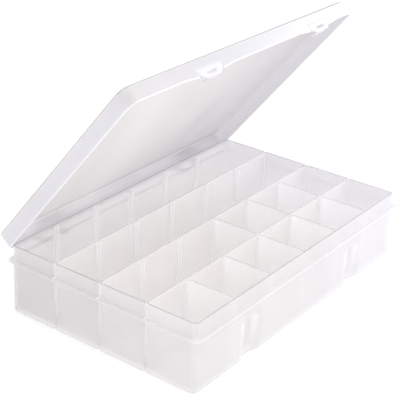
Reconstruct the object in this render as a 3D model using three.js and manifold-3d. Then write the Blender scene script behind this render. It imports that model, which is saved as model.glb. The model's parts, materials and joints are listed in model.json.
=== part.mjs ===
// Parts sorting tray: a shallow moulded box with four rows, lift-out cross dividers and a hinged lid.
// Millimetres. +X runs along the long side, +Y to the hinge side, +Z up.
// The origin is the centre of the tray's footprint, on its underside.
import * as THREE from 'three';
import { mergeVertices } from 'three/addons/utils/BufferGeometryUtils.js';
import Module from 'manifold-3d';

const wasm = await Module();
wasm.setup();

// Driving dimensions
const LENGTH = 275; // outside of the rim, along X
const WIDTH = 175; // outside of the rim, along Y
const HEIGHT = 56.5;
const WALL = 1.5;
const FLOOR = 1.6;
const ROWS = 4;
const COLUMNS = 6;
const GAP = 0.3; // between pieces that touch
const LID_ANGLE = 51; // how far the lid stands open, in degrees

// Tray shell
const BODY_STEP = 0.8; // the walls below the ledge stand this far outside the rim
const BODY_RADIUS = 4.5;
const RIM_RADIUS = 4;
const CAVITY_RADIUS = 2.5;
const BASE_ROUND = 1.2;
const RIM_BAND = 12; // from the ledge's top to the rim
const LEDGE_THICK = 1.6;
const LEDGE_OUT = 2.8;
const LEDGE_RADIUS = 6;
const GROOVE_WIDTH = 6.4;
const GROOVE_DEPTH = 2.6;
const RIM_GROOVE_DEPTH = 1.4;
const GROOVE_INSIDE = 1.3; // how far a groove stands out inside the end wall
const GROOVE_SHOULDER = 0.2; // where a groove's side bends, as a share of its depth
const GROOVE_SLOPE = 0.25; // and as a share of its half width

// Thumb recesses in the front wall
const RECESS_X = 72;
const RECESS_WIDTH = 28;
const RECESS_DEPTH = 3.6;
const RECESS_TOP = 33;
const RECESS_SLOPE = 4.5;
const RECESS_STEPS = 12;

// Partitions, ribs and dividers
const PARTITION_THICK = 1.5;
const DIVIDER_THICK = 1.3;
const RIB_WIDTH = 1;
const RIB_OUT = 1.4;
const RIB_SPACING = 3.4; // centre to centre in a pair
const RIB_TOP_DROP = 1;
const DIVIDER_TOP_DROP = 0.4;
const DIVIDER_CORNER = 1.2;
const DIVIDER_COLUMNS = { front: [-2, -1, 0, 1, 2], second: [0, 1, 2] };

// Lid
const LID_THICK = 1.5;
const SKIRT_THICK = 1.4;
const LID_DEPTH = 13.4;
const LID_OVER_ENDS = 2.75;
const LID_OVER_FRONT = 10.5;
const LID_OVER_REAR = 8.5;
const LID_RADIUS = 9;
const LID_ROUND = 2;
const LID_SEGMENTS = 8; // round each corner

// Latch tabs on the lid's front skirt
const LATCH_X = { left: -55, right: 87 };
const LATCH_WIDTH = 28;
const LATCH_TIP_WIDTH = 15;
const LATCH_ABOVE = 5; // slot above the skirt's free edge
const LATCH_BELOW = 4; // tab below the skirt's free edge
const WINDOW_WIDTH = 10;
const WINDOW_HEIGHT = 2;
const WINDOW_LOW = 1.2; // window's bottom below the skirt's free edge
const HOOK_HEIGHT = 1.5;
const HOOK_REACH = 1.2; // how far the hook reaches in under the ledge
const HOOK_INSET = 1; // hook's end from the tab's end
const RAMP_LENGTH = 13; // beside a latch, the skirt's free edge ramps down
const RAMP_DROP = 1.5;

// Hinge
const HINGE_BEHIND = 12; // pin behind the rim's rear face
const HINGE_BELOW = 2.5; // pin below the rim
const HINGE_X = 88;
const KNUCKLE_RADIUS = 2.6;
const BORE_RADIUS = 1.3;
const PIN_RADIUS = 1;
const LID_KNUCKLE = 14;
const TRAY_KNUCKLE = 7;
const KNUCKLE_GAP = 0.4;
const ARM_THICK = 2.8;
const ARM_CORNER = 1; // chamfer under a bracket's arm

// Helpers for cutting and joining
const PAST = 5; // how far a cutting shape runs past what it cuts
const BITE = 0.5; // how far a joined shape runs into its neighbour
const SPAN = 200; // half the side of a block that trims a whole shape
const WELD = 1e-4; // vertices closer than this are one
const CORNER_SEGMENTS = 6;
const ROUND_SEGMENTS = 3;
const BARREL_SIDES = 20;

// Derived
const halfX = LENGTH / 2;
const halfY = WIDTH / 2;
const cavityX = halfX - WALL;
const cavityY = halfY - WALL;
const rowPitch = (2 * cavityY + PARTITION_THICK) / ROWS;
const columnPitch = (2 * cavityX + DIVIDER_THICK) / COLUMNS;
const rowInside = rowPitch - PARTITION_THICK;
const ledgeTop = HEIGHT - RIM_BAND;
const ledgeBottom = ledgeTop - LEDGE_THICK;
const ledgeX = halfX + BODY_STEP + LEDGE_OUT;
const ledgeY = halfY + BODY_STEP + LEDGE_OUT;
const bodyFront = -halfY - BODY_STEP;
const hingeY = halfY + HINGE_BEHIND;
const hingeZ = HEIGHT - HINGE_BELOW;
const lidTop = HEIGHT + GAP + LID_THICK;
const lidBottom = lidTop - LID_DEPTH;
const lidFront = -halfY - LID_OVER_FRONT;
const lidRear = halfY + LID_OVER_REAR;
const lidX = halfX + LID_OVER_ENDS;

// Geometry helpers

function solid(geometry) {
  const bare = geometry.clone();
  bare.deleteAttribute('normal');
  bare.deleteAttribute('uv');
  const merged = mergeVertices(bare, WELD);
  const mesh = new wasm.Mesh({
    numProp: 3,
    vertProperties: new Float32Array(merged.attributes.position.array),
    triVerts: new Uint32Array(merged.index.array),
  });
  return new wasm.Manifold(mesh);
}

function geometryOf(shape) {
  const { numProp, vertProperties, triVerts } = shape.getMesh();
  const positions = new Float32Array((vertProperties.length / numProp) * 3);
  for (let i = 0; i < positions.length / 3; i += 1) {
    for (let k = 0; k < 3; k += 1) {
      positions[3 * i + k] = vertProperties[numProp * i + k];
    }
  }
  const indexed = new THREE.BufferGeometry();
  indexed.setAttribute('position', new THREE.BufferAttribute(positions, 3));
  indexed.setIndex(new THREE.BufferAttribute(new Uint32Array(triVerts), 1));
  const geometry = indexed.toNonIndexed();
  geometry.computeVertexNormals();
  return geometry;
}

function block([x0, x1], [y0, y1], [z0, z1]) {
  const geometry = new THREE.BoxGeometry(x1 - x0, y1 - y0, z1 - z0);
  geometry.translate((x0 + x1) / 2, (y0 + y1) / 2, (z0 + z1) / 2);
  return solid(geometry);
}

function outline(points) {
  const shape = new THREE.Shape();
  shape.moveTo(...points[0]);
  points.slice(1).forEach((point) => shape.lineTo(...point));
  shape.closePath();
  return shape;
}

function roundedRectangle([x0, x1], [y0, y1], radius) {
  const shape = new THREE.Shape();
  const quarter = Math.PI / 2;
  shape.moveTo(x0 + radius, y0);
  shape.absarc(x1 - radius, y0 + radius, radius, -quarter, 0, false);
  shape.absarc(x1 - radius, y1 - radius, radius, 0, quarter, false);
  shape.absarc(x0 + radius, y1 - radius, radius, quarter, 2 * quarter, false);
  shape.absarc(x0 + radius, y0 + radius, radius, 2 * quarter, 3 * quarter, false);
  shape.closePath();
  return shape;
}

// An upright prism between two heights. With a round, its top and bottom edges are rounded inwards.
function prism(shape, [z0, z1], round = 0, curveSegments = CORNER_SEGMENTS) {
  const geometry = new THREE.ExtrudeGeometry(shape, {
    depth: z1 - z0 - 2 * round,
    curveSegments,
    bevelEnabled: round > 0,
    bevelThickness: round,
    bevelSize: round,
    bevelOffset: -round,
    bevelSegments: ROUND_SEGMENTS,
  });
  geometry.translate(0, 0, z0 + round);
  return solid(geometry);
}

// A plate drawn in X and Z, from y0 to y1.
function plate(points, [y0, y1]) {
  const geometry = new THREE.ExtrudeGeometry(outline(points), { depth: y1 - y0, bevelEnabled: false });
  geometry.rotateX(Math.PI / 2);
  geometry.translate(0, y1, 0);
  return solid(geometry);
}

function barrel(radius, [x0, x1], y, z) {
  const geometry = new THREE.CylinderGeometry(radius, radius, x1 - x0, BARREL_SIDES);
  geometry.rotateZ(Math.PI / 2);
  geometry.translate((x0 + x1) / 2, y, z);
  return solid(geometry);
}

// A profile drawn in Y and Z, swept along X.
function sweepX(points, [x0, x1]) {
  const geometry = new THREE.ExtrudeGeometry(outline(points), { depth: x1 - x0, bevelEnabled: false });
  const axes = new THREE.Matrix4().makeBasis(
    new THREE.Vector3(0, 1, 0),
    new THREE.Vector3(0, 0, 1),
    new THREE.Vector3(1, 0, 0),
  );
  geometry.applyMatrix4(axes);
  geometry.translate(x0, 0, 0);
  return solid(geometry);
}

// Materials: one milky polypropylene for the tray, a cooler one for the lid, and steel for the pins.

function plastic(color) {
  return new THREE.MeshStandardMaterial({ color, roughness: 0.35, transparent: true, opacity: 0.6 });
}

const trayPlastic = plastic(0xf1f0ee);
const dividerPlastic = plastic(0xeceae6);
const lidPlastic = plastic(0xe4e4ec);
const steel = new THREE.MeshStandardMaterial({ color: 0xc8c8cc, roughness: 0.3, metalness: 1 });

function piece(name, shape, material) {
  const mesh = new THREE.Mesh(geometryOf(shape), material);
  mesh.name = name;
  return mesh;
}

// Tray shell

function partitionLines() {
  return Array.from({ length: ROWS - 1 }, (_, i) => (i + 1 - ROWS / 2) * rowPitch);
}

function columnLines() {
  return Array.from({ length: COLUMNS - 1 }, (_, i) => (i + 1 - COLUMNS / 2) * columnPitch);
}

// A plan outline, with a rounded V groove in both end walls at each partition.
function grooved(x, y, radius, depth) {
  const quarter = Math.PI / 2;
  const half = GROOVE_WIDTH / 2;
  const shoulder = GROOVE_SHOULDER * depth;
  const slope = GROOVE_SLOPE * half;
  const shape = new THREE.Shape();
  shape.moveTo(-x + radius, -y);
  shape.absarc(x - radius, -y + radius, radius, -quarter, 0, false);
  partitionLines().forEach((line) => {
    shape.lineTo(x, line - half);
    shape.quadraticCurveTo(x - shoulder, line - slope, x - depth, line);
    shape.quadraticCurveTo(x - shoulder, line + slope, x, line + half);
  });
  shape.absarc(x - radius, y - radius, radius, 0, quarter, false);
  shape.absarc(-x + radius, y - radius, radius, quarter, 2 * quarter, false);
  partitionLines().reverse().forEach((line) => {
    shape.lineTo(-x, line + half);
    shape.quadraticCurveTo(-x + shoulder, line + slope, -x + depth, line);
    shape.quadraticCurveTo(-x + shoulder, line - slope, -x, line - half);
  });
  shape.absarc(-x + radius, -y + radius, radius, 2 * quarter, 3 * quarter, false);
  shape.closePath();
  return shape;
}

// A thumb recess: a shallow scoop, open at the bottom edge, with a top that slopes out to the wall.
// With an inset, it is the same shape that much further in, which gives the scoop its wall.
function scoop(centre, inset) {
  const half = RECESS_WIDTH / 2;
  const outside = bodyFront - PAST;
  const curve = Array.from({ length: RECESS_STEPS + 1 }, (_, i) => {
    const share = (2 * i) / RECESS_STEPS - 1;
    const depth = RECESS_DEPTH * Math.cos((share * Math.PI) / 2) ** 2;
    return [centre + share * half, bodyFront + inset + depth];
  });
  const plan = outline([[centre - half, outside], [centre + half, outside], ...curve.reverse()]);
  const deep = bodyFront + inset + RECESS_SLOPE;
  const top = RECESS_TOP + inset;
  const profile = [
    [outside, -PAST],
    [deep, -PAST],
    [deep, top - RECESS_SLOPE],
    [bodyFront + inset, top],
    [outside, top],
  ];
  return prism(plan, [-PAST, HEIGHT]).intersect(sweepX(profile, [centre - half, centre + half]));
}

function ribPairs(y0, y1) {
  return columnLines().flatMap((line) =>
    [-1, 1].map((side) => {
      const x = line + (side * RIB_SPACING) / 2;
      return block([x - RIB_WIDTH / 2, x + RIB_WIDTH / 2], [y0, y1], [FLOOR - BITE, HEIGHT - RIB_TOP_DROP]);
    }),
  );
}

function hingeBracket(centre) {
  const parts = [];
  [-1, 1].forEach((side) => {
    const near = centre + side * (LID_KNUCKLE / 2 + KNUCKLE_GAP);
    const far = near + side * TRAY_KNUCKLE;
    const span = [Math.min(near, far), Math.max(near, far)];
    const arm = [
      [halfY, ledgeBottom],
      [hingeY + KNUCKLE_RADIUS - ARM_CORNER, ledgeBottom],
      [hingeY + KNUCKLE_RADIUS, ledgeBottom + ARM_CORNER],
      [hingeY + KNUCKLE_RADIUS, hingeZ],
      [hingeY - KNUCKLE_RADIUS, hingeZ],
      [hingeY - KNUCKLE_RADIUS, ledgeTop],
      [halfY, ledgeTop],
    ];
    parts.push(sweepX(arm, span).add(barrel(KNUCKLE_RADIUS, span, hingeY, hingeZ)));
  });
  const reach = LID_KNUCKLE / 2 + KNUCKLE_GAP + TRAY_KNUCKLE + PAST;
  const bore = barrel(BORE_RADIUS, [centre - reach, centre + reach], hingeY, hingeZ);
  return parts.map((part) => part.subtract(bore));
}

function trayShell() {
  const lower = prism(
    grooved(halfX + BODY_STEP, halfY + BODY_STEP, BODY_RADIUS, GROOVE_DEPTH),
    [0, HEIGHT],
    BASE_ROUND,
  ).subtract(block([-SPAN, SPAN], [-SPAN, SPAN], [ledgeBottom + BITE, HEIGHT + PAST]));
  const band = prism(grooved(halfX, halfY, RIM_RADIUS, RIM_GROOVE_DEPTH), [ledgeBottom, HEIGHT]);
  const ledgeOutline = roundedRectangle([-ledgeX, ledgeX], [-ledgeY, ledgeY], LEDGE_RADIUS);
  const ledge = prism(ledgeOutline, [ledgeBottom, ledgeTop]);
  const cavity = prism(grooved(cavityX, cavityY, CAVITY_RADIUS, GROOVE_INSIDE), [FLOOR, HEIGHT + PAST]);
  let shell = lower.add(band).add(ledge).subtract(cavity);
  const inside = block([-cavityX, cavityX], [bodyFront + BITE, 0], [FLOOR / 2, HEIGHT]);
  [-RECESS_X, RECESS_X].forEach((line) => {
    shell = shell.add(scoop(line, WALL).intersect(inside)).subtract(scoop(line, 0));
  });
  const ribs = [
    ...ribPairs(-cavityY - WALL / 2, -cavityY + RIB_OUT),
    ...ribPairs(cavityY - RIB_OUT, cavityY + WALL / 2),
  ];
  const brackets = [-1, 1].flatMap((side) => hingeBracket(side * HINGE_X));
  return [...ribs, ...brackets].reduce((sum, part) => sum.add(part), shell);
}

// Long partitions: full-length walls with a pair of ribs on both faces at each divider line.

function partition(line) {
  const x = cavityX - GROOVE_INSIDE - GAP;
  const face = PARTITION_THICK / 2;
  const ribbedSide = (sign) => {
    const list = columnLines().flatMap((column) =>
      [-1, 1].flatMap((pair) => {
        const middle = column + (pair * RIB_SPACING) / 2;
        return [
          [middle - RIB_WIDTH / 2, sign * face],
          [middle - RIB_WIDTH / 2, sign * (face + RIB_OUT)],
          [middle + RIB_WIDTH / 2, sign * (face + RIB_OUT)],
          [middle + RIB_WIDTH / 2, sign * face],
        ];
      }),
    );
    return sign < 0 ? list : list.reverse();
  };
  const points = [[-x, -face], ...ribbedSide(-1), [x, -face], [x, face], ...ribbedSide(1), [-x, face]];
  const ribbed = prism(outline(points), [FLOOR + GAP, HEIGHT - RIB_TOP_DROP]);
  const plate = block([-x, x], [-face, face], [FLOOR + GAP, HEIGHT]);
  return ribbed.add(plate).translate([0, line, 0]);
}

// Lift-out cross dividers: plates that drop between the rib pairs.

function divider() {
  const half = rowInside / 2 - GAP;
  const bottom = FLOOR + GAP;
  const top = HEIGHT - DIVIDER_TOP_DROP;
  const points = [
    [-half, bottom],
    [half, bottom],
    [half, top - DIVIDER_CORNER],
    [half - DIVIDER_CORNER, top],
    [-half + DIVIDER_CORNER, top],
    [-half, top - DIVIDER_CORNER],
  ];
  return sweepX(points, [-DIVIDER_THICK / 2, DIVIDER_THICK / 2]);
}

// Lid, drawn closed. The hinge group below turns it to where it stands.

function lidShell() {
  const outer = prism(
    roundedRectangle([-lidX, lidX], [lidFront, lidRear], LID_RADIUS),
    [lidBottom - PAST, lidTop],
    LID_ROUND,
    LID_SEGMENTS,
  ).subtract(block([-SPAN, SPAN], [-SPAN, SPAN], [lidBottom - 2 * PAST, lidBottom]));
  const inner = prism(
    roundedRectangle(
      [-lidX + SKIRT_THICK, lidX - SKIRT_THICK],
      [lidFront + SKIRT_THICK, lidRear - SKIRT_THICK],
      LID_RADIUS - SKIRT_THICK,
    ),
    [lidBottom - PAST, lidTop - LID_THICK],
    0,
    LID_SEGMENTS,
  );
  let shell = outer.subtract(inner);
  Object.values(LATCH_X).forEach((x) => {
    const half = LATCH_WIDTH / 2 + GAP;
    const across = [lidFront - BITE, lidFront + SKIRT_THICK + BITE];
    shell = shell.subtract(block([x - half, x + half], across, [lidBottom - BITE, lidBottom + LATCH_ABOVE]));
    [-1, 1].forEach((side) => {
      const edge = x + side * half;
      const ramp = [
        [edge, lidBottom + BITE],
        [edge, lidBottom - RAMP_DROP],
        [edge + side * RAMP_LENGTH, lidBottom],
        [edge + side * RAMP_LENGTH, lidBottom + BITE],
      ];
      const wedge = plate(side > 0 ? ramp : ramp.reverse(), [lidFront, lidFront + SKIRT_THICK]);
      shell = shell.add(wedge);
    });
  });
  [-1, 1].forEach((side) => {
    const span = [side * HINGE_X - LID_KNUCKLE / 2, side * HINGE_X + LID_KNUCKLE / 2];
    const arm = block(span, [lidRear - BITE, hingeY], [hingeZ - ARM_THICK / 2, hingeZ + ARM_THICK / 2]);
    const knuckle = arm.add(barrel(KNUCKLE_RADIUS, span, hingeY, hingeZ));
    const bore = barrel(BORE_RADIUS, [span[0] - PAST, span[1] + PAST], hingeY, hingeZ);
    shell = shell.add(knuckle.subtract(bore));
  });
  return shell;
}

// Latch tab: a flexing trapezoid in a slot of the front skirt, with a window and an inward hook.

function latchTab() {
  const top = lidBottom + LATCH_ABOVE - GAP;
  const tip = lidBottom - LATCH_BELOW;
  const outer = lidFront;
  const inner = lidFront + SKIRT_THICK;
  const tab = plate(
    [
      [-LATCH_WIDTH / 2, top],
      [-LATCH_WIDTH / 2, lidBottom],
      [-LATCH_TIP_WIDTH / 2, tip],
      [LATCH_TIP_WIDTH / 2, tip],
      [LATCH_WIDTH / 2, lidBottom],
      [LATCH_WIDTH / 2, top],
    ],
    [outer, inner],
  );
  const windowBottom = lidBottom - WINDOW_LOW;
  const pane = block(
    [-WINDOW_WIDTH / 2, WINDOW_WIDTH / 2],
    [outer - BITE, inner + BITE],
    [windowBottom, windowBottom + WINDOW_HEIGHT],
  );
  const hookTop = ledgeBottom - GAP;
  const hook = sweepX(
    [
      [inner - BITE, hookTop],
      [inner - BITE, hookTop - HOOK_HEIGHT],
      [inner, hookTop - HOOK_HEIGHT],
      [-ledgeY + HOOK_REACH, hookTop - HOOK_HEIGHT / 2],
      [-ledgeY + HOOK_REACH, hookTop],
    ],
    [-LATCH_TIP_WIDTH / 2 + HOOK_INSET, LATCH_TIP_WIDTH / 2 - HOOK_INSET],
  );
  return tab.subtract(pane).add(hook);
}

function hingePin(centre) {
  const reach = LID_KNUCKLE / 2 + KNUCKLE_GAP + TRAY_KNUCKLE - GAP;
  return barrel(PIN_RADIUS, [centre - reach, centre + reach], hingeY, hingeZ);
}

// Assembly

const tray = new THREE.Group();
tray.add(piece('tray_shell', trayShell(), trayPlastic));
['front', 'middle', 'rear'].forEach((name, i) => {
  tray.add(piece(`partition_${name}`, partition(partitionLines()[i]), trayPlastic));
});
['left', 'right'].forEach((name, i) => {
  tray.add(piece(`hinge_pin_${name}`, hingePin((2 * i - 1) * HINGE_X), steel));
});

const dividers = new THREE.Group();
['front', 'second'].forEach((row, i) => {
  DIVIDER_COLUMNS[row].forEach((column) => {
    const mesh = piece(`divider_${row}_${column + 3}`, divider(), dividerPlastic);
    mesh.position.set(column * columnPitch, (i + 0.5 - ROWS / 2) * rowPitch, 0);
    dividers.add(mesh);
  });
});

const closedLid = new THREE.Group();
closedLid.position.set(0, -hingeY, -hingeZ);
closedLid.add(piece('lid', lidShell(), lidPlastic));
Object.entries(LATCH_X).forEach(([name, x]) => {
  const tab = piece(`latch_${name}`, latchTab(), lidPlastic);
  tab.position.x = x;
  closedLid.add(tab);
});
const hinge = new THREE.Group();
hinge.position.set(0, hingeY, hingeZ);
hinge.rotation.x = -THREE.MathUtils.degToRad(LID_ANGLE);
hinge.add(closedLid);

const sortingTray = new THREE.Group();
sortingTray.add(tray, dividers, hinge);

export default sortingTray;
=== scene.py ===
import json
import math

import bmesh
import bpy
from mathutils import Matrix, Vector


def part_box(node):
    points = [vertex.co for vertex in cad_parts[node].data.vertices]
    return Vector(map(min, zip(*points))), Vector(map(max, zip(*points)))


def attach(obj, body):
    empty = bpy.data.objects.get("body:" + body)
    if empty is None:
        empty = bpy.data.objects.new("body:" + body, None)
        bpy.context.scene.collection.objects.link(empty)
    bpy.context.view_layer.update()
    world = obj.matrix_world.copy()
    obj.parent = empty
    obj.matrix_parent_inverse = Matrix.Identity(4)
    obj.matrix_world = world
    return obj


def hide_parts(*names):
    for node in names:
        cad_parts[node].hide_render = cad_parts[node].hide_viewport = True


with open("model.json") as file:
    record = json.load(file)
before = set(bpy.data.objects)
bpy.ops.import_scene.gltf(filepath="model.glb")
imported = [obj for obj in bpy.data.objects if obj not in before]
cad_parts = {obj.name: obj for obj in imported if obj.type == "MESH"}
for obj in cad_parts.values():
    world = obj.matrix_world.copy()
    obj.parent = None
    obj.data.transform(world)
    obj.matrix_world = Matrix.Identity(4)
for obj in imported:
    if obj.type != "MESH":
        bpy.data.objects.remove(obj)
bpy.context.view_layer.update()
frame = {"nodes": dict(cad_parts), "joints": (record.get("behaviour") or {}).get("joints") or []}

# Everything is in metres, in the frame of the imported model: +X along the long side, +Y to the hinge, +Z up.
# The lid, its latches and its knuckles are modelled closed, and are then turned to where it stands open.

# Driving dimensions
MM = 0.001
QUARTER = math.pi / 2
WALL = 1.5 * MM
FLOOR = 1.6 * MM
ROWS = 4
COLUMNS = 6
CORNER_STEPS = 8
SHARP_ANGLE = 38  # in degrees: a sharper edge isn't shaded smooth
HAIRLINE = 0.04 * MM  # between pieces that look moulded together

# Tray shell
BODY_STEP = 0.8 * MM
BODY_RADIUS = 4.5 * MM
RIM_RADIUS = 4 * MM
CAVITY_RADIUS = 2.5 * MM
BASE_ROUND = 1.2 * MM
FLOOR_FILLET = 1.3 * MM
EDGE_ROUND = 0.45 * MM
RIM_BAND = 12 * MM
LEDGE_THICK = 1.6 * MM
LEDGE_OUT = 2.8 * MM
LEDGE_RADIUS = 6 * MM
GROOVE_HALF = 3.2 * MM
GROOVE_DEPTH = 2.6 * MM
RIM_GROOVE_DEPTH = 1.4 * MM
GROOVE_INSIDE = 1.3 * MM  # how far a groove stands out inside the end wall

# Thumb recesses
RECESS_X = 72 * MM
RECESS_HALF = 14 * MM
RECESS_DEPTH = 3.6 * MM
RECESS_TOP = 33 * MM
RECESS_SLOPE = 1.15  # height of a scoop's slope, as a share of its depth
RECESS_STEPS = 16

# Ribs and partitions
RIB_OUT = 1.4 * MM
RIB_SPACING = 3.4 * MM
RIB_DROP = 1 * MM  # from the rim down to the ribs' tops
PARTITION_TOP = 1.3 * MM
PARTITION_FOOT = 1.7 * MM
PARTITION_FLARE = 0.8 * MM

# Dividers
DIVIDER_ROUND = 0.3 * MM
DIVIDER_CORNER = 1.5 * MM
DIVIDER_FLAT = 0.5 * MM  # a face is flat from this far inside its rounding

# Lid
LID_THICK = 1.5 * MM
SKIRT_THICK = 1.4 * MM
LID_DEPTH = 13.4 * MM
LID_OVER_ENDS = 2.75 * MM
LID_OVER_FRONT = 10.5 * MM
LID_OVER_REAR = 8.5 * MM
LID_RADIUS = 9 * MM
LID_ROUND = 2 * MM
LID_FILLET = 1 * MM
LID_GAP = 0.3 * MM

# Latch tabs
LATCH_HALF = 14 * MM
LATCH_TIP_HALF = 7.5 * MM
LATCH_ABOVE = 5 * MM  # slot above the skirt's free edge
LATCH_BELOW = 4 * MM  # tab below it
WINDOW_HALF = 5 * MM
WINDOW_LOW = 1.2 * MM
WINDOW_HEIGHT = 2 * MM
RAMP_LENGTH = 13 * MM
RAMP_DROP = 1.5 * MM
HOOK_HALF = 6.5 * MM
HOOK_HEIGHT = 1.5 * MM
HOOK_REACH = 1.2 * MM

# Hinge
HINGE_X = 88 * MM
KNUCKLE_RADIUS = 2.6 * MM
BORE_RADIUS = 1.3 * MM
PIN_RADIUS = 1 * MM
LID_KNUCKLE_HALF = 7 * MM
KNUCKLE_GAP = 0.4 * MM
TRAY_KNUCKLE = 7 * MM
ARM_HALF = 1.4 * MM
PIN_DOME = 0.3 * MM
PIN_TIP = 0.55  # radius of a pin's flat tip, as a share of its own

# Read from the frame
shell_low, shell_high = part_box("tray_shell")
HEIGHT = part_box("partition_front")[1].z
half_x = shell_high.x - BODY_STEP - LEDGE_OUT
half_y = -shell_low.y - BODY_STEP - LEDGE_OUT
cavity_x = half_x - WALL
cavity_y = half_y - WALL
row_pitch = (2 * cavity_y + WALL) / ROWS
column_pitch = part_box("divider_front_4")[0].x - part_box("divider_front_3")[0].x
ledge_top = HEIGHT - RIM_BAND
ledge_bottom = ledge_top - LEDGE_THICK
joints = {joint["name"]: joint for joint in frame["joints"]}
hinge = Vector(joints["lid_hinge"]["pos_m"])
lid_angle = -math.radians(joints["lid_hinge"]["range_deg"][0])
lid_top = HEIGHT + LID_GAP + LID_THICK
lid_bottom = lid_top - LID_DEPTH
lid_x = half_x + LID_OVER_ENDS
lid_front = -half_y - LID_OVER_FRONT
lid_rear = half_y + LID_OVER_REAR
latch_x = {side: joints["latch_" + side + "_flex"]["pos_m"][0] for side in ("left", "right")}
LID_OPEN = Matrix.Translation(hinge) @ Matrix.Rotation(-lid_angle, 4, "X") @ Matrix.Translation(-hinge)

partition_lines = [(row + 1 - ROWS / 2) * row_pitch for row in range(ROWS - 1)]
column_lines = [(column + 1 - COLUMNS / 2) * column_pitch for column in range(COLUMNS - 1)]

# How a rib is shaped: place across it in millimetres, share of its depth, share of its tone, which is painted
# highlight on thicker plastic
RIB_SHAPE = (
    (-1.4, 0, 0), (-0.85, 0, 1), (-0.6, 0.15, 1), (-0.42, 0.8, 1), (-0.22, 1, 1),
    (0.22, 1, 1), (0.42, 0.8, 1), (0.6, 0.15, 1), (0.85, 0, 1), (1.4, 0, 0),
)
# And a groove: place across it in half widths, share of its depth
GROOVE_SHAPE = (
    (-1, 0), (-0.7, 0.07), (-0.45, 0.26), (-0.2, 0.62), (0, 1),
    (0.2, 0.62), (0.45, 0.26), (0.7, 0.07), (1, 0),
)
# And the top of a rib: place below it in millimetres, share of its depth
RIB_TOP = ((0, 0), (0.12, 0.5), (0.4, 0.9), (0.8, 1))
# And a partition's ends: place along it in millimetres, share of its flare and of its tone, which is painted
# highlight on thicker plastic
END_SHAPE = ((0, 1), (0.15, 0.5), (0.45, 0.12), (0.9, 0))

# How much whiter a place is painted: 0 as the rest, 1 nearly opaque white. This is partly thicker, whiter
# plastic and partly painted highlight. Shades are painted shade that makes a place darker instead.
RIB_GLOW = 1.1
LEDGE_GLOW = 0.15
RECESS_GLOW = 0.45
# painted shade in the middle of a thumb scoop
RECESS_SHADE = 0.1
CORNER_GLOW = 0.1
SKIRT_GLOW = 0.5
# painted light on the inside of the lid's skirt
SKIRT_INSIDE_GLOW = 0.4
FRONT_SKIRT_GLOW = (0.15, 1)  # painted light, whiter towards the right: at the left end and at the right end
LATCH_GLOW = 0.72
# painted shade along the tray's bottom round
BASE_SHADE = 0.5
# painted shade on the lid's rounded shoulder
LID_EDGE_SHADE = 0.8


# Mesh helpers

def finish_mesh(name, bm, material):
    """A new object from bm, smooth except at its sharp edges."""
    bmesh.ops.recalc_face_normals(bm, faces=bm.faces)
    mesh = bpy.data.meshes.new(name)
    bm.to_mesh(mesh)
    bm.free()
    mesh.shade_smooth()
    mesh.set_sharp_from_angle(angle=math.radians(SHARP_ANGLE))
    mesh.materials.append(material)
    piece = bpy.data.objects.new(name, mesh)
    bpy.context.scene.collection.objects.link(piece)
    return piece


def place_piece(piece, part, node):
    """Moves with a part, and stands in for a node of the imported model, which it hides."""
    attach(piece, part)
    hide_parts(node)


def loft(rings, tones):
    """A closed skin through rings of equally many points. Each ring has a tone, or a list of tones for its
    points: below 0 for painted shade on an edge that is seen through its length, above 0 for thicker, whiter
    plastic with a painted highlight.
    """
    bm = bmesh.new()
    layer = bm.verts.layers.float.new("tone")
    rows = []
    for ring, tone in zip(rings, tones):
        row = [bm.verts.new(point) for point in ring]
        shares = tone if isinstance(tone, list) else [tone] * len(row)
        for vertex, share in zip(row, shares):
            vertex[layer] = share
        rows.append(row)
    for low, high in zip(rows, rows[1:]):
        for i in range(len(low)):
            j = (i + 1) % len(low)
            bm.faces.new((low[i], low[j], high[j], high[i]))
    bm.faces.new(list(reversed(rows[0])))
    bm.faces.new(rows[-1])
    return bm


def arc(steps=CORNER_STEPS):
    """Shares of a quarter turn, from 0 to 1."""
    return [i / steps for i in range(steps + 1)]


def corner(x, y, radius, start, glow=0):
    """A quarter circle about (x, y), counter-clockwise from the angle start. Each point carries a tone, a
    painted highlight that is strongest in the middle of the turn.
    """
    turns = [(start + QUARTER * share, glow * math.sin(2 * QUARTER * share)) for share in arc()]
    return [(x + radius * math.cos(turn), y + radius * math.sin(turn), tone) for turn, tone in turns]


def rounded(x, low_y, high_y, radius, front=(), ends=(), rear=(), glow=0):
    """A rounded rectangle, counter-clockwise from its near-left corner. front, ends and rear are lists of
    (place along that side, step inwards from it, tone), and its own points are (x, y, tone).
    """
    points = corner(-x + radius, low_y + radius, radius, 2 * QUARTER, glow)
    points += [(place, low_y + step, tone) for place, step, tone in front]
    points += corner(x - radius, low_y + radius, radius, 3 * QUARTER, glow)
    points += [(x - step, place, tone) for place, step, tone in ends]
    points += corner(x - radius, high_y - radius, radius, 0, glow)
    points += [(place, high_y - step, tone) for place, step, tone in reversed(rear)]
    points += corner(-x + radius, high_y - radius, radius, QUARTER, glow)
    points += [(-x + step, place, tone) for place, step, tone in reversed(ends)]
    return points


def rib_steps(depth):
    """The pairs of ribs along a wall, as steps outwards of that depth."""
    # A rib's tone is painted highlight on its thicker plastic.
    full_glow = RIB_GLOW * min(depth / RIB_OUT, 1)
    return [
        (line + side * RIB_SPACING / 2 + across * MM, share * depth, glow * full_glow)
        for line in column_lines
        for side in (-1, 1)
        for across, share, glow in RIB_SHAPE
    ]


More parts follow.
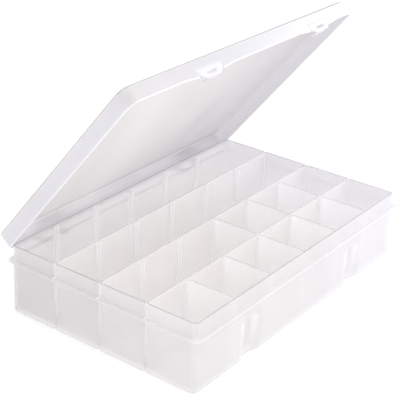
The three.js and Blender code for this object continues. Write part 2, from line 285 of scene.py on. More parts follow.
def recess_steps(limit, shift):
    """The thumb scoops, cut off at the depth limit, and measured from a wall that is shifted inwards."""
    steps = []
    for line in (-RECESS_X, RECESS_X):
        for i in range(RECESS_STEPS + 1):
            share = 2 * i / RECESS_STEPS - 1
            swell = math.cos(QUARTER * share) ** 2
            depth = min(RECESS_DEPTH * swell, limit)
            # Painted highlight on a scoop's flanks, and painted shade in its middle.
            flank = math.sin(2 * QUARTER * share) ** 2
            glow = (RECESS_GLOW * flank - RECESS_SHADE * swell) * min(limit / RECESS_DEPTH, 1)
            steps.append((line + share * RECESS_HALF, max(depth - shift, 0), glow))
    return steps


def groove_steps(depth):
    """The grooves along an end wall, as steps inwards of that depth."""
    # Each step's tone is painted highlight on thicker plastic, strongest in a groove's middle.
    return [
        (line + across * GROOVE_HALF, share * depth, share**2 if depth > 0 else 0)
        for line in partition_lines
        for across, share in GROOVE_SHAPE
    ]


# Materials

# Milky plastic, with noise scales per metre
CLOUD_SCALE = 14
GRAIN_SCALE = 900
MOTTLE_RANGE = (0.6, 1.4)  # where the sum of two noises reaches the first colour and the second
SCATTER_THROUGH = 0.35
MOTTLE_CLEAR = 0.04  # how much clearer or cloudier the mottling makes it
EDGE_CLOUD = 0.25  # how much less clear where the painted shade is darkest
WHITE_CLOUD = 0.4  # and where the thicker plastic and painted highlight are whitest
PAINTED_EDGE_SHADE = 0.7  # share of the second colour that is left where the painted shade is darkest
WHITE = (0.99, 0.985, 0.99)
PLASTIC_ROUGHNESS = (0.3, 0.42)
PLASTIC_IOR = 1.49
FLOW_HEIGHT = 2.5  # against the grain's height
PLASTIC_BUMP = 0.08
PLASTIC_BUMP_HEIGHT = 0.2 * MM

# Steel wire
RING_SCALE = (6000, 300, 300)
STEEL_DARK = (0.5, 0.5, 0.52)
STEEL_LIGHT = (0.72, 0.72, 0.74)
STEEL_ROUGHNESS = (0.18, 0.42)
STEEL_BUMP = 0.2
STEEL_BUMP_HEIGHT = 0.05 * MM


def new_material(name):
    material = bpy.data.materials.new(name)
    material.use_nodes = True
    nodes = material.node_tree.nodes
    nodes.clear()
    return material, nodes, material.node_tree.links


def maths(nodes, links, operation, *values, clamp=False):
    node = nodes.new("ShaderNodeMath")
    node.operation = operation
    node.use_clamp = clamp
    for socket, value in zip(node.inputs, values):
        if isinstance(value, (int, float)):
            socket.default_value = value
        else:
            links.new(value, socket)
    return node.outputs[0]


def spread(nodes, links, value, low, high, to_low, to_high):
    """The value carried over from one range to another, and held at its ends."""
    node = nodes.new("ShaderNodeMapRange")
    links.new(value, node.inputs["Value"])
    for socket, number in zip(("From Min", "From Max", "To Min", "To Max"), (low, high, to_low, to_high)):
        node.inputs[socket].default_value = number
    return node.outputs["Result"]


def noise_at(nodes, links, place, scale, detail):
    node = nodes.new("ShaderNodeTexNoise")
    links.new(place, node.inputs["Vector"])
    node.inputs["Scale"].default_value = scale
    node.inputs["Detail"].default_value = detail
    return node.outputs["Fac"]


def stretched(nodes, links, place, scale):
    node = nodes.new("ShaderNodeMapping")
    links.new(place, node.inputs["Vector"])
    node.inputs["Scale"].default_value = scale
    return node.outputs["Vector"]


def blend_colours(nodes, links, share, first, second):
    node = nodes.new("ShaderNodeMix")
    node.data_type = "RGBA"
    links.new(share, node.inputs["Factor"])
    for socket, colour in ((node.inputs[6], first), (node.inputs[7], second)):
        if isinstance(colour, tuple):
            socket.default_value = (*colour, 1)
        else:
            links.new(colour, socket)
    return node.outputs[2]


def add_bump(nodes, links, height, strength, distance, surface):
    bump = nodes.new("ShaderNodeBump")
    bump.inputs["Strength"].default_value = strength
    bump.inputs["Distance"].default_value = distance
    links.new(height, bump.inputs["Height"])
    links.new(bump.outputs["Normal"], surface.inputs["Normal"])


def mix_shaders(nodes, links, share, first, second):
    node = nodes.new("ShaderNodeMixShader")
    if isinstance(share, float):
        node.inputs["Fac"].default_value = share
    else:
        links.new(share, node.inputs["Fac"])
    links.new(first.outputs[0], node.inputs[1])
    links.new(second.outputs[0], node.inputs[2])
    return node


def show_surface(nodes, links, shader):
    output = nodes.new("ShaderNodeOutputMaterial")
    links.new(shader.outputs[0], output.inputs["Surface"])


def milky_plastic(name, light, shade, clear, streaks=(20, 20, 6), half_bright=(0.97, 0.965, 0.975), painted_light_fades=()):
    """Thin moulded polypropylene: a share, clear, of the light goes straight through, and the rest is
    scattered back or through. Streaks are the marks that the melt's flow left, as noise scales along X, Y and
    Z. Each fade paints light and shade along an axis: where it starts, where it ends, and the colour that the
    plastic turns to along it.
    """
    material, nodes, links = new_material(name)
    place = nodes.new("ShaderNodeTexCoord").outputs["Object"]
    cloud = noise_at(nodes, links, place, CLOUD_SCALE, detail=2)
    flow = noise_at(nodes, links, stretched(nodes, links, place, streaks), 1, detail=3)
    grain = noise_at(nodes, links, place, GRAIN_SCALE, detail=2)
    # The tone attribute: below 0 painted shade, above 0 thicker, whiter plastic with painted highlight.
    tone = nodes.new("ShaderNodeAttribute")
    tone.attribute_name = "tone"
    painted_shade = maths(nodes, links, "MULTIPLY", tone.outputs["Fac"], -1, clamp=True)
    thick_and_painted_light = maths(nodes, links, "MULTIPLY", tone.outputs["Fac"], 1, clamp=True)

    mottle = spread(nodes, links, maths(nodes, links, "ADD", cloud, flow), *MOTTLE_RANGE, 0, 1)
    colour = blend_colours(nodes, links, mottle, light, shade)
    apart = nodes.new("ShaderNodeSeparateXYZ")
    links.new(place, apart.inputs[0])
    # Painted light and shade along the object's axes.
    for axis, start, end, last in painted_light_fades:
        along = spread(nodes, links, apart.outputs[axis], start, end, 0, 1)
        colour = blend_colours(nodes, links, along, colour, last)
    # Painted shade darkens the colour, then painted highlight whitens it, first to half_bright and then to
    # WHITE.
    colour = blend_colours(nodes, links, painted_shade, colour, tuple(PAINTED_EDGE_SHADE * c for c in shade))
    colour = blend_colours(nodes, links, spread(nodes, links, thick_and_painted_light, 0, 0.5, 0, 1), colour, half_bright)
    colour = blend_colours(nodes, links, spread(nodes, links, thick_and_painted_light, 0.5, 1, 0, 1), colour, WHITE)

    surface = nodes.new("ShaderNodeBsdfPrincipled")
    links.new(colour, surface.inputs["Base Color"])
    surface.inputs["IOR"].default_value = PLASTIC_IOR
    links.new(spread(nodes, links, cloud, 0.2, 0.8, *PLASTIC_ROUGHNESS), surface.inputs["Roughness"])
    height = maths(nodes, links, "ADD", maths(nodes, links, "MULTIPLY", flow, FLOW_HEIGHT), grain)
    add_bump(nodes, links, height, PLASTIC_BUMP, PLASTIC_BUMP_HEIGHT, surface)

    beyond = nodes.new("ShaderNodeBsdfTranslucent")
    links.new(colour, beyond.inputs["Color"])
    scatter = mix_shaders(nodes, links, SCATTER_THROUGH, surface, beyond)

    straight = nodes.new("ShaderNodeBsdfTransparent")
    opening = spread(nodes, links, mottle, 0, 1, clear + MOTTLE_CLEAR, clear - MOTTLE_CLEAR)
    # Painted shade and painted highlight both make the plastic less clear.
    closed = maths(nodes, links, "MULTIPLY", painted_shade, EDGE_CLOUD)
    opening = maths(nodes, links, "SUBTRACT", opening, closed)
    closed = maths(nodes, links, "MULTIPLY", thick_and_painted_light, WHITE_CLOUD)
    opening = maths(nodes, links, "SUBTRACT", opening, closed, clamp=True)
    show_surface(nodes, links, mix_shaders(nodes, links, opening, scatter, straight))
    return material


def bright_steel():
    """Steel with fine rings of tool marks round X."""
    material, nodes, links = new_material("pin_steel")
    place = nodes.new("ShaderNodeTexCoord").outputs["Object"]
    lines = noise_at(nodes, links, stretched(nodes, links, place, RING_SCALE), 1, detail=3)
    surface = nodes.new("ShaderNodeBsdfPrincipled")
    surface.inputs["Metallic"].default_value = 1
    colour = blend_colours(nodes, links, lines, STEEL_DARK, STEEL_LIGHT)
    links.new(colour, surface.inputs["Base Color"])
    links.new(spread(nodes, links, lines, 0.2, 0.8, *STEEL_ROUGHNESS), surface.inputs["Roughness"])
    add_bump(nodes, links, lines, STEEL_BUMP, STEEL_BUMP_HEIGHT, surface)
    show_surface(nodes, links, surface)
    return material


TRAY_PLASTIC = milky_plastic(
    "tray_plastic", (0.855, 0.836, 0.842), (0.815, 0.798, 0.802), clear=0.42,
    # Painted light tints the tray bluish towards the right; painted shade darkens it towards the hinge side
    # and at the far end wall.
    painted_light_fades=(
        ("X", -0.02, 0.11, (0.855, 0.838, 0.86)),
        ("Y", -0.06, 0.09, (0.785, 0.768, 0.777)),
        ("X", 0.131, 0.136, (0.765, 0.745, 0.77)),
    ),
)
PARTITION_PLASTIC = milky_plastic(
    "partition_plastic", (0.99, 0.97, 0.95), (0.965, 0.945, 0.92), clear=0.59,
    half_bright=(0.99, 0.975, 0.975),
    # Painted light makes the partitions whiter towards the right.
    painted_light_fades=(("X", 0.01, 0.12, (0.99, 0.98, 0.985)),),
)
DIVIDER_PLASTIC = milky_plastic("divider_plastic", (0.99, 0.985, 0.985), (0.985, 0.975, 0.975), clear=0.7)
LID_PLASTIC = milky_plastic(
    "lid_plastic", (0.89, 0.87, 0.865), (0.75, 0.73, 0.73), clear=0.3,
    streaks=(30, 6, 6), half_bright=(0.815, 0.805, 0.845),
    # Painted shade darkens the lid towards the right, and painted light makes its far right end lighter.
    painted_light_fades=(("X", -0.05, 0.1, (0.665, 0.64, 0.66)), ("X", 0.13, 0.135, (0.83, 0.805, 0.815))),
)
PIN_STEEL = bright_steel()


# Tray shell: one skin from the underside up the outside, over the rim and down the inside to the floor

def tray_ring(out, radius, groove=0, recess=0, shift=0, rib=0):
    front = sorted(rib_steps(rib) + recess_steps(recess, shift))
    rear = sorted(rib_steps(rib) + recess_steps(0, 0))
    return rounded(
        half_x + out, -half_y - out, half_y + out, radius, front=front, ends=groove_steps(groove), rear=rear,
        glow=CORNER_GLOW,
    )


def recess_heights(top):
    """Heights at which a scoop's slope is drawn, lowest first."""
    return [top - RECESS_DEPTH * RECESS_SLOPE * (1 - share) for share in arc()]


def tray_rings():
    """The rings and tones of the shell's skin, in the order that the skin is drawn."""
    rings = []
    tones = []

    def add(z, out, radius, tone=0, **features):
        points = tray_ring(out, radius, **features)
        rings.append([(x, y, z) for x, y, _ in points])
        tones.append([tone or glow for _, _, glow in points])

    # Painted shade along the bottom round, where the tray meets the floor.
    for share in arc():
        inset = BASE_ROUND * (1 - math.sin(QUARTER * share))
        z = BASE_ROUND * (1 - math.cos(QUARTER * share))
        add(z, BODY_STEP - inset, BODY_RADIUS - inset, groove=GROOVE_DEPTH, recess=RECESS_DEPTH, shift=inset,
            tone=-BASE_SHADE * math.sin(2 * QUARTER * share))
    for z in [*recess_heights(RECESS_TOP), ledge_bottom - EDGE_ROUND]:
        add(z, BODY_STEP, BODY_RADIUS, groove=GROOVE_DEPTH, recess=max(RECESS_TOP - z, 0))
    lip = BODY_STEP + LEDGE_OUT
    add(ledge_bottom, BODY_STEP + EDGE_ROUND, BODY_RADIUS + EDGE_ROUND, groove=GROOVE_DEPTH)
    for share in arc(4):
        inset = EDGE_ROUND * (1 - math.sin(QUARTER * share))
        z = ledge_bottom + EDGE_ROUND * (1 - math.cos(QUARTER * share))
        add(z, lip - inset, LEDGE_RADIUS - inset, tone=LEDGE_GLOW)
    for share in arc(4):
        inset = EDGE_ROUND * (1 - math.cos(QUARTER * share))
        z = ledge_top - EDGE_ROUND * (1 - math.sin(QUARTER * share))
        add(z, lip - inset, LEDGE_RADIUS - inset, tone=LEDGE_GLOW)
    add(ledge_top, EDGE_ROUND, RIM_RADIUS + EDGE_ROUND, groove=RIM_GROOVE_DEPTH)
    add(ledge_top + EDGE_ROUND, 0, RIM_RADIUS, groove=RIM_GROOVE_DEPTH)
    add(HEIGHT - 3 * EDGE_ROUND, 0, RIM_RADIUS, groove=RIM_GROOVE_DEPTH)
    # Painted shade along the rim's top edge, darkest at its crest, for an edge seen through its length.
    for share in arc(3):
        inset = EDGE_ROUND * (1 - math.cos(QUARTER * share))
        z = HEIGHT - EDGE_ROUND * (1 - math.sin(QUARTER * share))
        add(z, -inset, RIM_RADIUS - inset, tone=-share, groove=RIM_GROOVE_DEPTH)
    for share in arc(3):
        inset = WALL - EDGE_ROUND * (1 - math.sin(QUARTER * share))
        z = HEIGHT - EDGE_ROUND * (1 - math.cos(QUARTER * share))
        add(z, -inset, CAVITY_RADIUS + WALL - inset, tone=share - 1, groove=GROOVE_INSIDE)
    for drop, share in RIB_TOP:
        add(HEIGHT - RIB_DROP - drop * MM, -WALL, CAVITY_RADIUS, rib=RIB_OUT * share, groove=GROOVE_INSIDE)
    top = RECESS_TOP + WALL
    for z in reversed(recess_heights(top)):
        recess = max(top - z, 0)
        add(z, -WALL, CAVITY_RADIUS, groove=GROOVE_INSIDE, rib=RIB_OUT, recess=recess, shift=BODY_STEP)
    for share in arc(5):
        inset = FLOOR_FILLET * (1 - math.cos(QUARTER * share))
        z = FLOOR + FLOOR_FILLET * (1 - math.sin(QUARTER * share))
        rib = max(RIB_OUT - inset, 0)
        radius = CAVITY_RADIUS - inset
        add(z, -WALL - inset, radius, groove=GROOVE_INSIDE, rib=rib, recess=RECESS_DEPTH, shift=BODY_STEP)
    return rings, tones


def make_tray_shell():
    rings, tones = tray_rings()
    shell = finish_mesh("tray_walls", loft(rings, tones), TRAY_PLASTIC)
    place_piece(shell, "tray", "tray_shell")


# Partitions

def partition_ring(line, z, thickness, rib, inset):
    """The plan of a partition: ribs on both faces, and ends that flare into the end walls."""
    end = cavity_x - GROOVE_INSIDE - HAIRLINE - inset
    left = [(-end + away * MM, share * PARTITION_FLARE, share) for away, share in END_SHAPE]
    right = [(end - away * MM, share * PARTITION_FLARE, share) for away, share in reversed(END_SHAPE)]
    steps = [*left, *sorted(rib_steps(rib)), *right]
    half = thickness / 2 - inset
    near = [(x, line - half - step, z) for x, step, _ in steps]
    far = [(x, line + half + step, z) for x, step, _ in reversed(steps)]
    glows = [glow for _, _, glow in steps]
    return near + far, glows + glows[::-1]


def make_partition(name, line):
    rings = []
    tones = []

    def add(z, tone=0, rib=RIB_OUT, inset=0, foot=0):
        share = (z - FLOOR) / (HEIGHT - FLOOR)
        thickness = PARTITION_FOOT + (PARTITION_TOP - PARTITION_FOOT) * share + 2 * foot
        points, glows = partition_ring(line, z, thickness, rib, inset)
        rings.append(points)
        tones.append([tone or glow for glow in glows])

    for share in arc(4):
        foot = PARTITION_FLARE * (1 - math.sin(QUARTER * share))
        z = FLOOR + HAIRLINE + PARTITION_FLARE * (1 - math.cos(QUARTER * share))
        add(z, foot=foot, rib=max(RIB_OUT - foot, 0))
    for drop, share in reversed(RIB_TOP):
        add(HEIGHT - RIB_DROP - drop * MM, rib=RIB_OUT * share)
    # Painted shade along the top edge, darkest at its crest.
    for share in arc(3):
        inset = EDGE_ROUND * (1 - math.cos(QUARTER * share))
        add(HEIGHT - EDGE_ROUND * (1 - math.sin(QUARTER * share)), tone=-share, rib=0, inset=inset)
    piece = finish_mesh(name + "_wall", loft(rings, tones), PARTITION_PLASTIC)
    place_piece(piece, "tray", name)


# Dividers: thin plates with rounded edges that drop in between the ribs

def make_divider(name):
    low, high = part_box(name)
    middle = (low.x + high.x) / 2
    half = (high.x - low.x) / 2
    rings = []
    tones = []

    def add(x, inset):
        y0, y1 = low.y + inset, high.y - inset
        z0, z1 = low.z + inset, high.z - inset
        round_top = DIVIDER_CORNER - inset
        round_foot = DIVIDER_ROUND * 2 - inset / 2
        points = [(y0 + round_foot, z0), (y1 - round_foot, z0), (y1, z0 + round_foot)]
        points += [(y, z) for y, z, _ in corner(y1 - round_top, z1 - round_top, round_top, 0)]
        points += [(y, z) for y, z, _ in corner(y0 + round_top, z1 - round_top, round_top, QUARTER)]
        points.append((y0, z0 + round_foot))
        rings.append([(x, y, z) for y, z in points])
        # Painted shade along the plate's rounded top edge.
        edge = z1 - round_top
        tones.append([-1 if inset < DIVIDER_ROUND and z > edge else 0 for _, z in points])

    add(middle - half, DIVIDER_ROUND + DIVIDER_FLAT)
    for share in arc(3):
        add(middle - half + DIVIDER_ROUND * (1 - math.cos(QUARTER * share)),
            DIVIDER_ROUND * (1 - math.sin(QUARTER * share)))
    for share in arc(3):
        add(middle + half - DIVIDER_ROUND * (1 - math.sin(QUARTER * share)),
            DIVIDER_ROUND * (1 - math.cos(QUARTER * share)))
    add(middle + half, DIVIDER_ROUND + DIVIDER_FLAT)
    piece = finish_mesh(name + "_plate", loft(rings, tones), DIVIDER_PLASTIC)
    place_piece(piece, name, name)


# Lid

def lid_slot_steps():
    """Places along the front skirt, and how far its free edge is raised there: into a latch slot, or down
    a ramp.
    """
    half = LATCH_HALF + LID_GAP
    edge = 0.03 * MM  # half the width that a slot's upright end takes
    steps = []
    for side in ("left", "right"):
        for way in (-1, 1):
            corners = ((-edge, LATCH_ABOVE), (edge, -RAMP_DROP), (RAMP_LENGTH, 0))
            steps += [(latch_x[side] + way * (half + away), rise) for away, rise in corners]
    return sorted(steps)


def lid_ring(z, out, glow):
    """One turn round the lid, and the tones of its points: painted light makes the front skirt whiter to the
    right.
    """
    slots = lid_slot_steps()
    skirt = LID_DEPTH - LID_ROUND - LID_FILLET
    raised = 1 - min((z - lid_bottom) / skirt, 1)
    front = [(x, 0, 0) for x, _ in slots]
    points = rounded(lid_x + out, lid_front - out, lid_rear + out, LID_RADIUS + out, front=front)
    heights = [z] * len(points)
    for i, (_, rise) in enumerate(slots):
        heights[CORNER_STEPS + 1 + i] += rise * raised
    places = [(x, y, height) for (x, y, _), height in zip(points, heights)]
    if glow != SKIRT_GLOW:  # only the skirt's outside has tones of its own at the front
        return places, [glow] * len(points)
    # Painted light: the front skirt's tone rises from the left end to the right end.
    left, right = FRONT_SKIRT_GLOW
    front_glow = [left + (right - left) * (x + lid_x) / (2 * lid_x) for x, _, _ in points]
    is_front = [y < lid_front + LID_RADIUS / 2 for _, y, _ in points]
    return places, [here if front else glow for here, front in zip(front_glow, is_front)]


def make_lid():
    rings = []
    tones = []

    def add(z, out, tone=SKIRT_GLOW):
        places, glows = lid_ring(z, out, tone)
        rings.append(places)
        tones.append(glows)

    under = lid_top - LID_THICK
    for share in arc(4):
        add(under - LID_FILLET * (1 - math.cos(QUARTER * share)),
            -SKIRT_THICK - LID_FILLET * (1 - math.sin(QUARTER * share)), tone=0)
    # Painted light on the skirt's inside.
    add(lid_bottom + 2 * EDGE_ROUND, -SKIRT_THICK, tone=SKIRT_INSIDE_GLOW)
    # Painted highlight along the skirt's free edge.
    for share in arc(3):
        add(lid_bottom + EDGE_ROUND * (1 - math.sin(QUARTER * share)),
            -SKIRT_THICK + EDGE_ROUND * (1 - math.cos(QUARTER * share)), tone=1)
    for share in arc(3):
        add(lid_bottom + EDGE_ROUND * (1 - math.cos(QUARTER * share)),
            -EDGE_ROUND * (1 - math.sin(QUARTER * share)), tone=1)
    add(lid_bottom + 2 * EDGE_ROUND, 0)
    # The skirt's outside keeps its tone, and the rounded shoulder gets painted shade.
    for share in arc(6):
        tone = SKIRT_GLOW if share == 0 else -LID_EDGE_SHADE * math.sin(2 * QUARTER * share)
        add(lid_top - LID_ROUND * (1 - math.sin(QUARTER * share)),
            -LID_ROUND * (1 - math.cos(QUARTER * share)), tone=tone)
    bm = loft(rings, tones)
    bmesh.ops.transform(bm, matrix=LID_OPEN, verts=bm.verts)
    lid = finish_mesh("lid_cover", bm, LID_PLASTIC)
    place_piece(lid, "lid", "lid")


# Pieces cut from sheet: latch tabs, their hooks, and the hinge's arms

ACROSS_X = Matrix(((0, 0, 1, 0), (1, 0, 0, 0), (0, 1, 0, 0), (0, 0, 0, 1)))  # drawn in Y and Z, thick along X
ACROSS_Y = Matrix(((1, 0, 0, 0), (0, 0, 1, 0), (0, 1, 0, 0), (0, 0, 0, 1)))  # drawn in X and Z, thick along Y
SHEET_ROUND = 0.25 * MM
RIM_ANGLE = 1  # in radians: a smaller bend isn't a rim
SOFT_STEPS = 5
CIRCLE_STEPS = 28


def soften(points, radii):
    """The polygon with each corner rounded by about its own radius, in millimetres."""
    smooth = []
    for i, radius in enumerate(radii):
        reach = radius * MM
        at = Vector(points[i])
        before = Vector(points[i - 1]) - at
        after = Vector(points[(i + 1) % len(points)]) - at
        start = at + before.normalized() * min(reach, before.length / 2)
        end = at + after.normalized() * min(reach, after.length / 2)
        for share in arc(SOFT_STEPS):
            near = start.lerp(at, share)
            smooth.append(tuple(near.lerp(at.lerp(end, share), share)))
    return smooth


def circle(middle, radius, start=0, sweep=4 * QUARTER):
    """A full circle, or the part of one that sweeps on from the angle start."""
    count = CIRCLE_STEPS if sweep == 4 * QUARTER else CIRCLE_STEPS + 1
    turns = [start + sweep * i / CIRCLE_STEPS for i in range(count)]
    return [(middle[0] + radius * math.cos(turn), middle[1] + radius * math.sin(turn)) for turn in turns]


def is_rim(edge):
    """Whether an edge is a sharp one round a face of a sheet, or round a hole in it."""
    level = edge.verts[0].co.z == edge.verts[1].co.z
    return level and len(edge.link_faces) == 2 and edge.calc_face_angle() > RIM_ANGLE


def add_sheet(bm, loops, low, high, matrix, tone=0):
    """Adds a flat piece from low to high. The first loop is its outline, and the others are holes."""
    layer = bm.verts.layers.float.get("tone") or bm.verts.layers.float.new("tone")
    fresh = []
    caps = []
    for height in (low, high):
        rows = [[bm.verts.new((u, v, height)) for u, v in loop] for loop in loops]
        edges = [bm.edges.new((row[i - 1], row[i])) for row in rows for i in range(len(row))]
        bmesh.ops.triangle_fill(bm, use_beauty=True, edges=edges)
        caps.append(rows)
        fresh += [vertex for row in rows for vertex in row]
    for first, second in zip(*caps):
        for i in range(len(first)):
            bm.faces.new((first[i - 1], first[i], second[i], second[i - 1]))
    for vertex in fresh:
        vertex[layer] = tone
    faces = list({face for vertex in fresh for face in vertex.link_faces})
    bmesh.ops.recalc_face_normals(bm, faces=faces)
    rim = [edge for edge in {edge for face in faces for edge in face.edges} if is_rim(edge)]
    bevelled = bmesh.ops.bevel(bm, geom=rim, offset=SHEET_ROUND, segments=2, profile=0.5, affect="EDGES")
    moved = {vertex for vertex in fresh if vertex.is_valid} | set(bevelled["verts"])
    bmesh.ops.transform(bm, matrix=matrix, verts=list(moved))


def make_latch(side):
    """A latch tab with a window in it, and the hook on its inside that snaps under the ledge."""
    middle = latch_x[side]
    top = lid_bottom + LATCH_ABOVE - LID_GAP
    tip = lid_bottom - LATCH_BELOW
    outline = soften(
        [
            (middle - LATCH_HALF, top),
            (middle - LATCH_HALF, lid_bottom),
            (middle - LATCH_TIP_HALF, tip),
            (middle + LATCH_TIP_HALF, tip),
            (middle + LATCH_HALF, lid_bottom),
            (middle + LATCH_HALF, top),
        ],
        (0.4, 3, 1.6, 1.6, 3, 0.4),
    )
    low = lid_bottom - WINDOW_LOW
    window = soften(
        [
            (middle - WINDOW_HALF, low),
            (middle + WINDOW_HALF, low),
            (middle + WINDOW_HALF, low + WINDOW_HEIGHT),
            (middle - WINDOW_HALF, low + WINDOW_HEIGHT),
        ],
        [0.9] * 4,
    )
    inner = lid_front + SKIRT_THICK
    hook_top = ledge_bottom - LID_GAP
    reach = -half_y - BODY_STEP - LEDGE_OUT + HOOK_REACH
    hook = soften(
        [
            (inner + HAIRLINE, hook_top),
            (inner + HAIRLINE, hook_top - HOOK_HEIGHT),
            (reach, hook_top - HOOK_HEIGHT / 2),
            (reach, hook_top),
        ],
        (0.05, 0.3, 0.4, 0.3),
    )
    bm = bmesh.new()
    add_sheet(bm, [outline, window], lid_front, inner, ACROSS_Y, tone=LATCH_GLOW)
    add_sheet(bm, [hook], middle - HOOK_HALF, middle + HOOK_HALF, ACROSS_X, tone=LATCH_GLOW)
    bmesh.ops.transform(bm, matrix=LID_OPEN, verts=bm.verts)
    latch = finish_mesh("latch_tab_" + side, bm, LID_PLASTIC)
    place_piece(latch, "latch_" + side, "latch_" + side)


# Hinge

def make_lid_arm(name, middle):
    """The lid's part of a hinge: a short arm that ends in a barrel round the pin."""
    centre = (hinge.y, hinge.z)
    turn = math.asin(ARM_HALF / KNUCKLE_RADIUS)
    outline = circle(centre, KNUCKLE_RADIUS, turn - 2 * QUARTER, 4 * QUARTER - 2 * turn)
    outline += [(lid_rear + HAIRLINE, hinge.z + ARM_HALF), (lid_rear + HAIRLINE, hinge.z - ARM_HALF)]
    bm = bmesh.new()
    loops = [outline, circle(centre, BORE_RADIUS)]
    add_sheet(bm, loops, middle - LID_KNUCKLE_HALF, middle + LID_KNUCKLE_HALF, ACROSS_X)
    bmesh.ops.transform(bm, matrix=LID_OPEN, verts=bm.verts)
    arm = finish_mesh(name, bm, LID_PLASTIC)
    place_piece(arm, "lid", "lid")


def make_tray_arm(name, middle):
    """One of the two arms that hold a pin: out from the ledge, and up round the pin."""
    centre = (hinge.y, hinge.z)
    foot = half_y + BODY_STEP + HAIRLINE
    low = ledge_bottom - HAIRLINE
    high = ledge_top + HAIRLINE
    lower = soften(
        [
            (foot, high),
            (foot, low),
            (hinge.y + KNUCKLE_RADIUS, low),
            (hinge.y + KNUCKLE_RADIUS, hinge.z),
            (hinge.y - KNUCKLE_RADIUS, hinge.z),
            (hinge.y - KNUCKLE_RADIUS, high),
        ],
        (0.2, 0.2, 1.5, 0, 0, 0.8),
    )
    barrel = circle(centre, KNUCKLE_RADIUS, 0, 2 * QUARTER)
    level = [i for i, point in enumerate(lower) if point[1] == hinge.z]
    outline = lower[:level[0]] + barrel + lower[level[-1] + 1:]
    bm = bmesh.new()
    half = TRAY_KNUCKLE / 2
    add_sheet(bm, [outline, circle(centre, BORE_RADIUS)], middle - half, middle + half, ACROSS_X)
    arm = finish_mesh(name, bm, TRAY_PLASTIC)
    place_piece(arm, "tray", "tray_shell")


def make_pin(side, middle):
    """A wire pin with slightly domed ends."""
    half = LID_KNUCKLE_HALF + KNUCKLE_GAP + TRAY_KNUCKLE - LID_GAP
    end = []
    for share in arc(4):
        radius = PIN_RADIUS * (PIN_TIP + (1 - PIN_TIP) * math.sin(QUARTER * share))
        end.append((-half + PIN_DOME * (1 - math.cos(QUARTER * share)), radius))
    stations = end + [(-x, radius) for x, radius in reversed(end)]
    rings = [[(middle + x, y, z) for y, z in circle((hinge.y, hinge.z), radius)] for x, radius in stations]
    pin = finish_mesh("pin_" + side, loft(rings, [0] * len(rings)), PIN_STEEL)
    place_piece(pin, "tray", "hinge_pin_" + side)


def make_hinges():
    for side, middle in (("left", -HINGE_X), ("right", HINGE_X)):
        make_lid_arm("lid_knuckle_" + side, middle)
        make_pin(side, middle)
        for end, way in (("near", -1), ("far", 1)):
            place = middle + way * (LID_KNUCKLE_HALF + KNUCKLE_GAP + TRAY_KNUCKLE / 2)
            make_tray_arm("tray_knuckle_" + side + "_" + end, place)


# Camera, floor and light

CAMERA_PLACE = Vector((-0.6755, -0.4808, 0.4724))
CAMERA_AZIMUTH = math.radians(-53.76)
CAMERA_ELEVATION = math.radians(25.82)
CAMERA_ROLL = math.radians(2.14)
CAMERA_LENS = 104.7
SENSOR_WIDTH = 36
VIEW_END = 20
FLOOR_HALF = 3
FLOOR_WHITE = 0.7
FLOOR_GLOW = 0.38  # keeps the floor white in the tray's shadow
SURROUND = 0.97  # strength of the white all round
LIGHT_TARGET = (0, 0, 0.05)


def make_camera():
    level = math.cos(CAMERA_ELEVATION)
    back = Vector((
        math.sin(CAMERA_AZIMUTH) * level,
        -math.cos(CAMERA_AZIMUTH) * level,
        math.sin(CAMERA_ELEVATION),
    ))
    across = Vector((0, 0, 1)).cross(back).normalized()
    upright = back.cross(across)
    right = math.cos(CAMERA_ROLL) * across + math.sin(CAMERA_ROLL) * upright
    up = -math.sin(CAMERA_ROLL) * across + math.cos(CAMERA_ROLL) * upright
    data = bpy.data.cameras.new("camera")
    data.lens = CAMERA_LENS
    data.sensor_width = SENSOR_WIDTH
    data.clip_end = VIEW_END
    camera = bpy.data.objects.new("camera", data)
    camera.matrix_world = Matrix((right, up, back)).transposed().to_4x4()
    camera.matrix_world.translation = CAMERA_PLACE
    bpy.context.scene.collection.objects.link(camera)
    bpy.context.scene.camera = camera


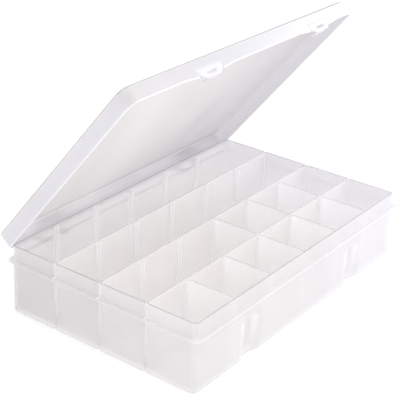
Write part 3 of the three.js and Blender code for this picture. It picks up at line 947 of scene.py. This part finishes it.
def make_floor():
    corners = ((-1, -1), (1, -1), (1, 1), (-1, 1))
    bm = bmesh.new()
    bm.faces.new([bm.verts.new((x * FLOOR_HALF, y * FLOOR_HALF, 0)) for x, y in corners])
    material, nodes, links = new_material("floor_white")
    surface = nodes.new("ShaderNodeBsdfDiffuse")
    surface.inputs["Color"].default_value = (FLOOR_WHITE, FLOOR_WHITE, FLOOR_WHITE, 1)
    glow = nodes.new("ShaderNodeEmission")
    glow.inputs["Strength"].default_value = FLOOR_GLOW
    both = nodes.new("ShaderNodeAddShader")
    links.new(surface.outputs[0], both.inputs[0])
    links.new(glow.outputs[0], both.inputs[1])
    show_surface(nodes, links, both)
    finish_mesh("floor", bm, material)


def soft_box(name, place, size, power, colour):
    """A square light that faces the tray."""
    data = bpy.data.lights.new(name, "AREA")
    data.color = colour
    data.shape = "SQUARE"
    data.size = size
    data.energy = power
    light = bpy.data.objects.new(name, data)
    light.location = place
    light.rotation_euler = (Vector(LIGHT_TARGET) - Vector(place)).to_track_quat("-Z", "Y").to_euler()
    bpy.context.scene.collection.objects.link(light)


def make_light():
    world = bpy.data.worlds.new("studio")
    world.use_nodes = True
    background = world.node_tree.nodes["Background"]
    background.inputs["Color"].default_value = (1, 1, 1, 1)
    background.inputs["Strength"].default_value = SURROUND
    bpy.context.scene.world = world
    soft_box("overhead", (0.2, -0.1, 1.5), size=1.6, power=5, colour=(1, 1, 1))
    soft_box("right", (1.0, -0.75, 0.4), size=0.7, power=7.5, colour=(0.9, 0.93, 1))


def set_view():
    """Plain colours, and enough bounces for light to cross the whole tray."""
    scene = bpy.context.scene
    scene.view_settings.view_transform = "Standard"
    scene.cycles.max_bounces = 16
    scene.cycles.diffuse_bounces = 6
    scene.cycles.transmission_bounces = 8
    scene.cycles.transparent_max_bounces = 48


make_camera()
make_floor()
make_light()
set_view()
make_tray_shell()
for name, line in zip(("partition_front", "partition_middle", "partition_rear"), partition_lines):
    make_partition(name, line)
for name in sorted(frame["nodes"]):
    if name.startswith("divider_"):
        make_divider(name)
make_lid()
for side in ("left", "right"):
    make_latch(side)
make_hinges()
